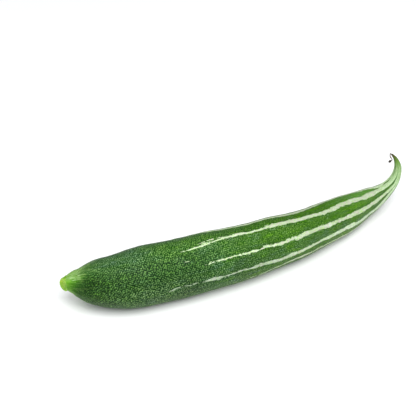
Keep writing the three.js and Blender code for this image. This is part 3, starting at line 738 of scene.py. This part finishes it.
for q in range(1, SF):
    f_ = 1 - (q / SF) ** 0.92
    ringp = mid + (rim - mid) * f_
    dist = (1 - f_) * np.linalg.norm(rim - mid, axis=1)
    up = round_ * 0.55 * np.sqrt(np.clip(1 - (1 - np.clip(dist / round_, 0, 1)) ** 2, 0, 1)) - 0.0
    up = up - 0.50 * smooth(0.35, 1.5, dist) + 0.30 * np.exp(-((f_ - 0.60) / 0.11) ** 2) * (0.75 + 0.25 * np.cos(10 * sang)) - 0.16 * np.exp(-((f_ - 0.0) / 0.26) ** 2)
    up = up + 0.05 * np.cos(10 * sang + 0.4) * smooth(0.15, 0.5, f_) + sn_fine(np.full(SA, 3.0 + 2.2 * f_), sang) * 1.6 * smooth(0.0, 0.3, f_)
    face_rows.append(ringp + up[:, None] * CUT_OUT)
    face_tags.append(f_)
SV = np.vstack([side.reshape(-1, 3), np.array(face_rows).reshape(-1, 3), (mid - 0.62 * CUT_OUT)[None], (_c3 + _t3 * 0.4)[None]])
rows_n = SL + SF - 1
sq = [(q * SA + w, q * SA + (w + 1) % SA, (q + 1) * SA + (w + 1) % SA, (q + 1) * SA + w) for q in range(rows_n - 1) for w in range(SA)]
tip_i, root_i = rows_n * SA, rows_n * SA + 1
sq += [((rows_n - 1) * SA + w, (rows_n - 1) * SA + (w + 1) % SA, tip_i) for w in range(SA)]
sq += [(w, root_i, (w + 1) % SA) for w in range(SA)]
stem = add_mesh("cut_stem", (SV + SHIFT) * MM, sq)
tagv = np.zeros((len(SV), 3), np.float32)       # x: 1 on the side, falling to 0 at the middle of the cut; y: mm before the cut; z: angle
tagv[:SL * SA, 0], tagv[:SL * SA, 1] = 1.0, left.ravel()
tagv[SL * SA:tip_i, 0] = np.repeat(face_tags, SA)
tagv[:tip_i, 2] = np.tile(sang, rows_n)
tagv[root_i] = (1.0, 9.0, 0.0)
att = stem.data.attributes.new("stem", "FLOAT_VECTOR", "POINT")
att.data.foreach_set("vector", tagv.ravel())
turn = np.zeros((len(SV), 3), np.float32)       # the direction round the axis and, for the ring of bundles, ten times as fast
turn[:tip_i, 0], turn[:tip_i, 1], turn[:tip_i, 2] = np.tile(np.cos(sang), rows_n), np.tile(np.sin(sang), rows_n), np.tile(np.cos(10 * sang), rows_n)
att = stem.data.attributes.new("turn", "FLOAT_VECTOR", "POINT")
att.data.foreach_set("vector", turn.ravel())
lv = corners(stem)
on_face = tagv[:, 0] < 0.999
rowc = np.where(lv < tip_i, lv // SA, rows_n)
colc = (lv % SA).astype(float)
fcol = np.repeat(colc.reshape(-1)[np.r_[0:4 * (rows_n - 1) * SA:4]], 4)
colq = colc.copy()
colq[:len(fcol)] = np.where((fcol == SA - 1) & (colc[:len(fcol)] == 0), SA, colc[:len(fcol)])
strip_map(stem, np.where(lv == root_i, 0.01, 0.02 + 0.96 * np.clip(rowc, 0, rows_n) / rows_n), np.where(lv < tip_i, 0.02 + 0.96 * colq / SA, 0.5))


def stem_material():
    t = Tree("stem_cut")
    obj = t.node("ShaderNodeTexCoord", out="Object")
    f_, before, _unused = t.split(t.attr("stem"))
    cs, sn_, ten = t.split(t.attr("turn"))
    # along the side: lime green with paler lengthwise threads, greener towards the fruit
    threads = t.noise(t.join(t.mul(cs, 7.0), t.mul(sn_, 7.0), t.mul(before, 0.14)), 1.0, 3.0, 0.6)
    side_c = t.mix(t.step(before, 0.3, 4.5), srgb(122, 162, 48), srgb(96, 144, 40))
    side_c = t.mix(t.step(threads, 0.46, 0.66, 0.0, 0.60), side_c, srgb(148, 184, 84))
    side_c = t.mix(t.step(threads, 0.47, 0.34, 0.0, 0.60), side_c, srgb(74, 122, 22))
    side_c = t.mix(t.step(before, 0.8, 0.05, 0.0, 0.70), side_c, srgb(152, 190, 78))
    # across the cut: rind, flesh, a ring of fibres, pith
    mott = t.noise(obj, 900.0, 3.0, 0.6)
    flesh = t.mix(t.step(mott, 0.35, 0.65), srgb(104, 152, 20), srgb(136, 178, 48))
    spokes = t.noise(t.join(t.mul(cs, 4.5), t.mul(sn_, 4.5), t.mul(f_, 1.2)), 1.0, 2.0, 0.6)
    flesh = t.mix(t.mul(t.step(spokes, 0.45, 0.65, 0.0, 0.5), t.step(f_, 0.22, 0.60)), flesh, srgb(164, 200, 62))
    ring = t.math("MULTIPLY", t.step(f_, 0.44, 0.58), t.step(f_, 0.76, 0.62))
    dots = t.step(t.add(ten, t.mul(t.sub(t.noise(obj, 420.0, 2.0, 0.5), 0.5), 0.9)), 0.10, 0.80)
    flesh = t.mix(t.mul(ring, t.mul(dots, 0.55)), flesh, srgb(184, 202, 104))
    flesh = t.mix(t.mul(ring, t.mul(t.sub(1.0, dots), 0.40)), flesh, srgb(112, 150, 34))
    pith = t.voronoi(t.scale(obj, 1.0), 2100.0)
    flesh = t.mix(t.step(f_, 0.42, 0.22), flesh, t.mix(t.step(pith, 0.15, 0.5), srgb(160, 190, 72), srgb(132, 168, 44)))
    flesh = t.mix(t.step(f_, 0.86, 0.97), flesh, srgb(140, 184, 66))
    # painted shade: deeper, darker greens on the lower side of the cut face; painted highlight: a paler yellow on its
    # upper side
    cut_face_low_shade = t.mul(t.step(t.add(t.mul(cs, math.cos(math.radians(112))), t.mul(sn_, math.sin(math.radians(112)))), 0.55, 0.92), t.step(f_, 0.30, 0.70))
    flesh = t.mix(t.mul(cut_face_low_shade, 0.80), flesh, t.mix(t.step(mott, 0.38, 0.62), srgb(82, 130, 14), srgb(112, 158, 34)))
    cut_face_top_highlight = t.mul(t.step(t.add(t.mul(cs, math.cos(math.radians(-20))), t.mul(sn_, math.sin(math.radians(-20)))), 0.60, 0.95), t.step(f_, 0.35, 0.62))
    flesh = t.mix(t.mul(cut_face_top_highlight, 0.55), flesh, srgb(168, 196, 44))
    dry = t.noise(obj, 420.0, 3.0, 0.6)
    flesh = t.mix(t.step(dry, 0.58, 0.72, 0.0, 0.5), flesh, srgb(150, 140, 70))
    col = t.mix(t.step(f_, 0.985, 1.0), flesh, side_c)
    col = t.mix(1.0, col, (0.92, 0.96, 0.78), "MULTIPLY")
    t.put(col, t.bsdf.inputs["Base Color"])
    t.put(t.add(0.50, t.mul(t.sub(mott, 0.5), 0.3)), t.bsdf.inputs["Roughness"])
    t.bsdf.inputs["Specular IOR Level"].default_value = 0.22
    t.bsdf.inputs["Subsurface Weight"].default_value = 0.0
    height = t.add(t.mul(threads, t.step(f_, 0.55, 0.97, 0.0, 0.8)), t.add(t.mul(mott, 0.4), t.mul(pith, t.step(f_, 0.9, 0.3, 0.0, 0.5))))
    t.put(t.bump(height, 0.00015, 0.8), t.bsdf.inputs["Normal"])
    return t.mat


stem.data.materials.append(stem_material())
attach(stem, "root")
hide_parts("stem_stub")

# ------------------------------------------------------------------ the withered flower: a shrivelled thread and a dark knob
THREAD = np.array([[150.75, 24.62, 49.15], [150.36, 24.70, 48.95], [150.38, 24.78, 48.3], [150.46, 24.82, 47.0], [150.75, 24.62, 45.7], [151.45, 24.25, 44.4], [152.15, 23.9, 43.3], [152.2, 23.85, 42.5], [151.5, 24.2, 41.75], [150.95, 24.5, 41.35]])
kk = np.r_[0, np.cumsum(np.linalg.norm(np.diff(THREAD, axis=0), axis=1))]
TR, TS = 110, 20
tt = np.linspace(0, kk[-1], TR)
tc = np.stack([hermite(kk, THREAD[:, q], tt) for q in range(3)], -1)
tT = unit(np.gradient(tc, tt, axis=0))
tN, tB = carry(tc, tT, np.array([0.3, 1.0, 0.1]))
tth = np.linspace(0, 2 * np.pi, TS, endpoint=False)
tr = np.interp(tt / tt[-1], [0, 0.06, 0.16, 0.34, 0.52, 0.66, 0.80, 0.90, 1.0], [0.52, 0.58, 0.48, 0.44, 0.54, 0.50, 0.58, 0.56, 0.74])
tw = waves(16, 41, (0.10, 0.55), (1, 4), 0.07)
TT, TH = np.meshgrid(tt, tth, indexing="ij")
flat = 0.80 + 0.20 * np.cos(2 * (TH - 0.55 * TT))          # it dried flat and twisted
rr = tr[:, None] * flat + tw(TT, TH) * 0.9
tv = tc[:, None] + rr[..., None] * (np.cos(TH)[..., None] * tN[:, None] + np.sin(TH)[..., None] * tB[:, None])
tq = [(q * TS + w, q * TS + (w + 1) % TS, (q + 1) * TS + (w + 1) % TS, (q + 1) * TS + w) for q in range(TR - 1) for w in range(TS)]
nt = TR * TS
tv = np.vstack([tv.reshape(-1, 3), tc[:1] - tT[:1] * 0.2, tc[-1:] + tT[-1:] * 0.2])
tq += [(w, nt, (w + 1) % TS) for w in range(TS)] + [((TR - 1) * TS + w, (TR - 1) * TS + (w + 1) % TS, nt + 1) for w in range(TS)]

KR, KS = 56, 84
kp, kt = np.meshgrid(np.linspace(0.03, np.pi - 0.03, KR), np.linspace(0, 2 * np.pi, KS, endpoint=False), indexing="ij")
hang = unit(np.array([-0.62, 0.30, -0.72]))                 # the knob's own long direction
kx = unit(np.cross(hang, [0.2, 0.9, 0.3]))
ky = np.cross(hang, kx)
kw = waves(40, 51, (0.1, 0.5), (2, 9), 0.075)
folds = np.abs(np.sin(2.5 * kt + 0.5 * np.sin(2 * kp) + 0.35))       # five shrivelled lobes
kr = 0.92 + 0.20 * (folds ** 0.7 - 0.6) * np.sin(kp) ** 0.8 + 0.10 * np.cos(kp * 2.0) + kw(kp * 2.2, kt) * np.sin(kp)
kr = kr * (1 - 0.20 * smooth(2.2, 3.1, kp))
kv = np.array([150.78, 24.63, 41.15]) + 1.22 * kr[..., None] * (np.sin(kp) * np.cos(kt))[..., None] * kx + 1.10 * kr[..., None] * (np.sin(kp) * np.sin(kt))[..., None] * ky + 1.50 * (kr * np.cos(kp))[..., None] * hang
nk = len(tv)
kq = [(nk + q * KS + w, nk + (q + 1) * KS + w, nk + (q + 1) * KS + (w + 1) % KS, nk + q * KS + (w + 1) % KS) for q in range(KR - 1) for w in range(KS)]
ends = np.stack([kv[0].mean(0), kv[-1].mean(0)])
ne = nk + KR * KS
kq += [(ne, nk + w, nk + (w + 1) % KS) for w in range(KS)] + [(ne + 1, nk + (KR - 1) * KS + (w + 1) % KS, nk + (KR - 1) * KS + w) for w in range(KS)]
FV = np.vstack([tv, kv.reshape(-1, 3), ends])
flower = add_mesh("withered_flower", (FV + SHIFT) * MM, tq + kq)
ftag = np.zeros((len(FV), 3), np.float32)       # x: 0 at the fruit, 1 at the knob, 2 on the knob; y: depth in the knob's folds; z: angle
ftag[:nt, 0] = np.repeat(tt / tt[-1], TS)
ftag[:nt, 2] = np.tile(tth, TR)
ftag[nt + 1:, 0] = 1.0
ftag[nk:, 0] = 2.0
ftag[nk:ne, 1] = folds.ravel()
ftag[nk:ne, 2] = kt.ravel()
att = flower.data.attributes.new("flower", "FLOAT_VECTOR", "POINT")
att.data.foreach_set("vector", ftag.ravel())
att = flower.data.attributes.new("turn", "FLOAT_VECTOR", "POINT")
att.data.foreach_set("vector", np.stack([np.cos(ftag[:, 2]), np.sin(ftag[:, 2]), np.zeros(len(ftag))], -1).astype(np.float32).ravel())
lv = corners(flower)
fuv = np.zeros((len(lv), 2))
on_t = lv < nt
ct = np.concatenate([np.tile(np.array([(w, w + 1, w + 1, w) for w in range(TS)]).ravel(), TR - 1),
                     np.array([(w, w + 0.5, w + 1) for w in range(TS)]).ravel(), np.array([(w, w + 1, w + 0.5) for w in range(TS)]).ravel()])
ck = np.concatenate([np.tile(np.array([(w, w, w + 1, w + 1) for w in range(KS)]).ravel(), KR - 1),
                     np.array([(w + 0.5, w, w + 1) for w in range(KS)]).ravel(), np.array([(w + 0.5, w + 1, w) for w in range(KS)]).ravel()])
column = np.r_[ct, ck]                          # counted round without a jump, corner by corner
fuv[on_t] = np.stack([0.02 + 0.96 * (lv[on_t] // TS) / TR, 0.01 + 0.28 * column[on_t] / TS], -1)
for end_, at_ in ((nt, 0.012), (nt + 1, 0.988)):
    fuv[lv == end_] = np.stack([np.full((lv == end_).sum(), at_), 0.01 + 0.28 * column[lv == end_] / TS], -1)
on_k = (lv >= nk) & (lv < ne)
fuv[on_k] = np.stack([0.02 + 0.96 * ((lv[on_k] - nk) // KS) / KR, 0.32 + 0.66 * column[on_k] / KS], -1)
for end_, at_ in ((ne, 0.012), (ne + 1, 0.988)):
    fuv[lv == end_] = np.stack([np.full((lv == end_).sum(), at_), 0.32 + 0.66 * column[lv == end_] / KS], -1)
strip_map(flower, fuv[:, 0], fuv[:, 1])


def flower_material():
    t = Tree("flower_dry")
    obj = t.node("ShaderNodeTexCoord", out="Object")
    run, fold, _unused = t.split(t.attr("flower"))
    cs, sn_, _flat = t.split(t.attr("turn"))
    body = t.ramp(t.mul(run, 0.5), [(0.0, srgb(62, 54, 26)), (0.08, srgb(84, 68, 36)), (0.24, srgb(84, 64, 34)), (0.36, srgb(58, 42, 20)), (0.50, srgb(40, 30, 15)), (1.0, srgb(36, 28, 14))])
    mott = t.noise(obj, 1500.0, 4.0, 0.65)
    body = t.mix(t.step(mott, 0.50, 0.72, 0.0, 0.6), body, srgb(120, 96, 62))
    body = t.mix(t.step(mott, 0.46, 0.30, 0.0, 0.7), body, srgb(26, 20, 10))
    # painted shade in the valleys between the knob's shrivelled folds
    body = t.mix(t.mul(t.step(run, 1.2, 1.8), t.step(fold, 0.35, 0.0, 0.0, 0.8)), body, srgb(20, 15, 8))
    t.put(body, t.bsdf.inputs["Base Color"])
    t.put(t.add(0.72, t.mul(t.sub(mott, 0.5), 0.3)), t.bsdf.inputs["Roughness"])
    t.bsdf.inputs["Specular IOR Level"].default_value = 0.2
    grainy = t.noise(t.join(t.mul(cs, 3.5), t.mul(sn_, 3.5), t.mul(run, 6.0)), 1.0, 3.0, 0.65)
    t.put(t.bump(t.add(t.mul(mott, 0.7), grainy), 0.00012, 0.9), t.bsdf.inputs["Normal"])
    return t.mat


flower.data.materials.append(flower_material())
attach(flower, "root")
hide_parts("dried_flower")

# ------------------------------------------------------------------ floor, light
floor_me = bpy.data.meshes.new("floor")
floor_me.from_pydata([(-6, -6, -0.0001), (6, -6, -0.0001), (6, 6, -0.0001), (-6, 6, -0.0001)], [], [(0, 1, 2, 3)])
floor = bpy.data.objects.new("floor", floor_me)
scene.collection.objects.link(floor)
ft = Tree("floor")
ft.put(ft.mix(ft.step(ft.noise(ft.node("ShaderNodeTexCoord", out="Object"), 3.0, 2.0), 0.3, 0.7), (0.84, 0.84, 0.845), (0.86, 0.86, 0.865)), ft.bsdf.inputs["Base Color"])
ft.bsdf.inputs["Roughness"].default_value = 0.6
ft.bsdf.inputs["Specular IOR Level"].default_value = 0.2
floor_me.materials.append(ft.mat)

# A soft sky: bright overhead and from the camera's side, dark low down behind the gourd.
world = bpy.data.worlds.new("world")
scene.world = world
world.use_nodes = True
wt = world.node_tree
bg = wt.nodes["Background"]
bg.inputs[0].default_value = (0.97, 0.985, 1.0, 1.0)
way = wt.nodes.new("ShaderNodeTexCoord")
lean = wt.nodes.new("ShaderNodeVectorMath")
lean.operation = "DOT_PRODUCT"
wt.links.new(way.outputs["Generated"], lean.inputs[0])
lean.inputs[1].default_value = (-0.487, -0.873, 1.0)
glow = wt.nodes.new("ShaderNodeMapRange")
glow.interpolation_type = "SMOOTHSTEP"
wt.links.new(lean.outputs["Value"], glow.inputs["Value"])
for key_, val_ in (("From Min", -0.35), ("From Max", 0.65), ("To Min", 0.12), ("To Max", 0.98)):
    glow.inputs[key_].default_value = val_
wt.links.new(glow.outputs["Result"], bg.inputs[1])


def area(name, place, aim, size, power, color=(1, 1, 1)):
    ld_ = bpy.data.lights.new(name, "AREA")
    ld_.shape, ld_.size, ld_.size_y = "RECTANGLE", size[0], size[1]
    ld_.energy, ld_.color = power, color
    o = bpy.data.objects.new(name, ld_)
    scene.collection.objects.link(o)
    o.location = place
    o.rotation_mode = "QUATERNION"
    o.rotation_quaternion = (Vector(aim) - Vector(place)).to_track_quat("-Z", "Y")
    return o


area("softbox_top", (-0.26, -0.84, 1.32), (0, 0, 0), (1.5, 1.2), 28.0)

scene.view_settings.view_transform = "Standard"
scene.view_settings.look = "None"
scene.view_settings.exposure = 0.0
scene.view_settings.gamma = 1.0
